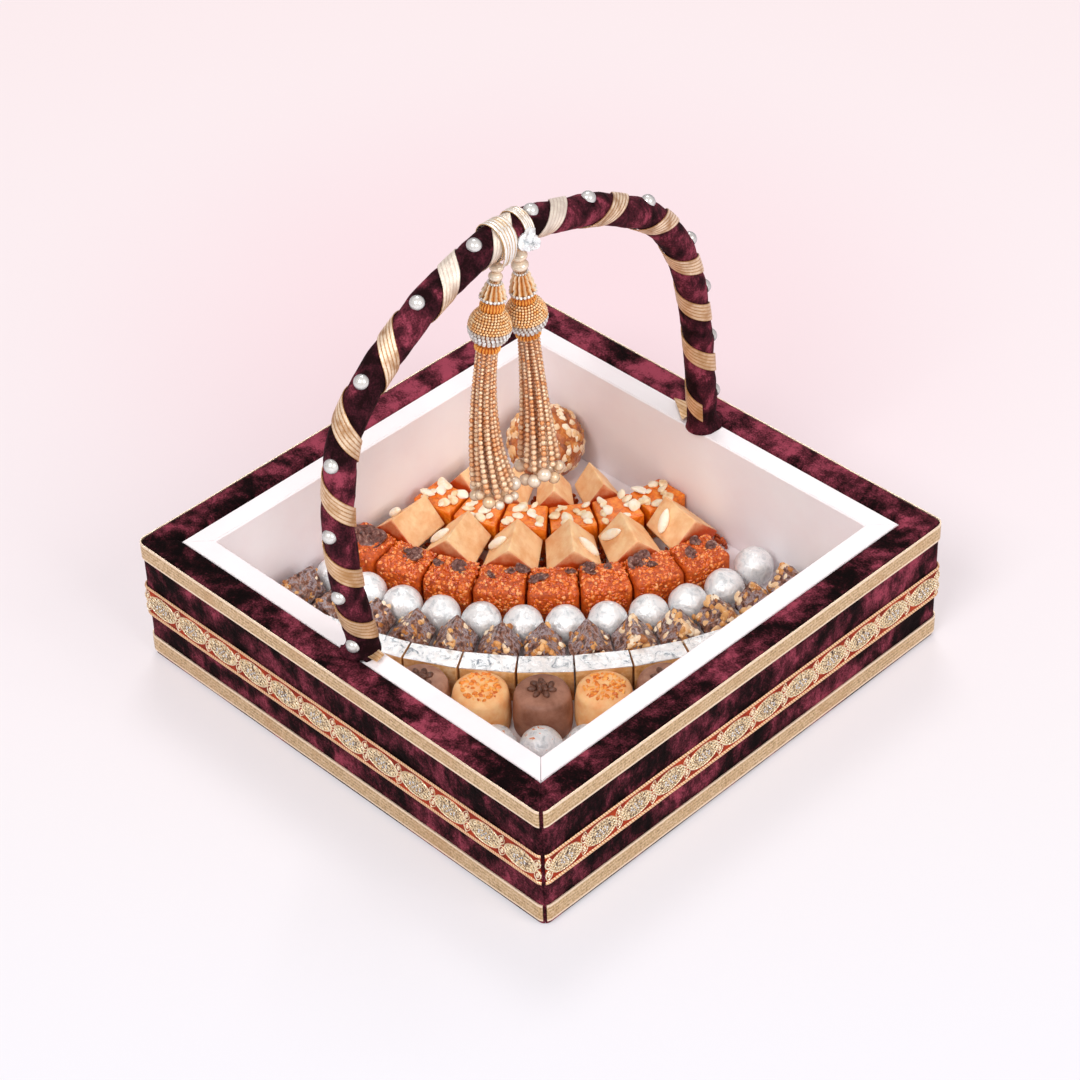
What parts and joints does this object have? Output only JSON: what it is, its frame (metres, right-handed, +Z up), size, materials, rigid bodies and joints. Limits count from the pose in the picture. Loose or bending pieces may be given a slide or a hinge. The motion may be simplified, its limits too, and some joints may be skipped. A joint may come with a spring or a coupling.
{
  "type": "gift bucket",
  "caption": "Square velvet gift tray with a flat rim, gold ribbon and lace trims, an arched ribbon-wound handle with hanging tassels, and a fan of sweets inside.",
  "frame": {"origin": "middle of the tray's underside, on the surface it stands on", "axes": "+Z up; the handle's arch stands in the plane x = 0 and runs along Y; the trims' ends meet at the corner +X, -Y; the fan of sweets spreads from the corner -X, +Y"},
  "size_m": [0.3078, 0.3078, 0.2887],
  "materials": {
    "velvet": "crushed pile, mottled",
    "board": "raw fibreboard",
    "foam_card": "matt white",
    "base_fabric": "plain weave",
    "gota_ribbon": "metallic ribbed ribbon",
    "zari_lace": "metallic embroidery on a rust ground",
    "cane": "raw",
    "pearl": "pearlescent",
    "gold_bead": "metallised gloss",
    "orange_beadwork": "rows of small beads and stones",
    "nut_laddoo": "rough, studded with nuts",
    "burfi": "smooth cut milk fudge",
    "orange_square": "moist, with nut slices",
    "motichoor": "moist small grains",
    "silver_leaf": "edible silver leaf",
    "date_nut": "sticky, with chopped nuts",
    "peda": "soft milk fudge"
  },
  "bodies": {
    "tray": {"base_board": "board", "base_lining": "base_fabric", "front_board": "board", "right_board": "board", "back_board": "board", "left_board": "board", "front_velvet": "velvet", "right_velvet": "velvet", "back_velvet": "velvet", "left_velvet": "velvet", "liner_floor": "foam_card", "liner_front": "foam_card", "liner_right": "foam_card", "liner_back": "foam_card", "liner_left": "foam_card", "top_ribbon": "gota_ribbon", "lace_border": "zari_lace", "bottom_ribbon": "gota_ribbon", "handle_core": "cane", "handle_sleeve": "velvet", "handle_ribbon": "gota_ribbon", "pearl_01": "pearl", "pearl_02": "pearl", "pearl_03": "pearl", "pearl_04": "pearl", "pearl_05": "pearl", "pearl_06": "pearl", "pearl_07": "pearl", "pearl_08": "pearl", "pearl_09": "pearl", "pearl_10": "pearl", "pearl_11": "pearl", "pearl_12": "pearl", "pearl_13": "pearl", "pearl_14": "pearl", "laddoo": "nut_laddoo", "inner_burfi_row": "burfi", "nut_square_row": "orange_square", "outer_burfi_row": "burfi", "motichoor_row": "motichoor", "silver_ball_row": "silver_leaf", "date_nut_row": "date_nut", "silver_bar_row": "silver_leaf", "peda_row": "peda", "front_ball_row": "silver_leaf"},
    "tassel_a_cord": {"tassel_a_loop": "gota_ribbon"},
    "tassel_a": {"tassel_a_eyelet": "gold_bead", "tassel_a_neck_beads": "gold_bead", "tassel_a_cap": "gold_bead", "tassel_a_dome": "orange_beadwork", "tassel_a_collar": "orange_beadwork", "tassel_a_strands": "gold_bead"},
    "tassel_b_cord": {"tassel_b_loop": "gota_ribbon"},
    "tassel_b": {"tassel_b_eyelet": "gold_bead", "tassel_b_neck_beads": "gold_bead", "tassel_b_cap": "gold_bead", "tassel_b_dome": "orange_beadwork", "tassel_b_collar": "orange_beadwork", "tassel_b_strands": "gold_bead"}
  },
  "joints": [
    {"name": "tassel_a_swing", "type": "hinge", "parent": "tray", "child": "tassel_a_cord", "pos_m": [0, -0.022, 0.2782], "axis": [0, 1, 0], "range_deg": [-50, 50]},
    {"name": "tassel_a_tilt", "type": "hinge", "parent": "tassel_a_cord", "child": "tassel_a", "pos_m": [0, -0.022, 0.2662], "axis": [1, 0, 0], "range_deg": [-30, 0]},
    {"name": "tassel_b_swing", "type": "hinge", "parent": "tray", "child": "tassel_b_cord", "pos_m": [0, -0.008, 0.2782], "axis": [0, 1, 0], "range_deg": [-50, 50]},
    {"name": "tassel_b_tilt", "type": "hinge", "parent": "tassel_b_cord", "child": "tassel_b", "pos_m": [0, -0.008, 0.2662], "axis": [1, 0, 0], "range_deg": [0, 30]}
  ]
}
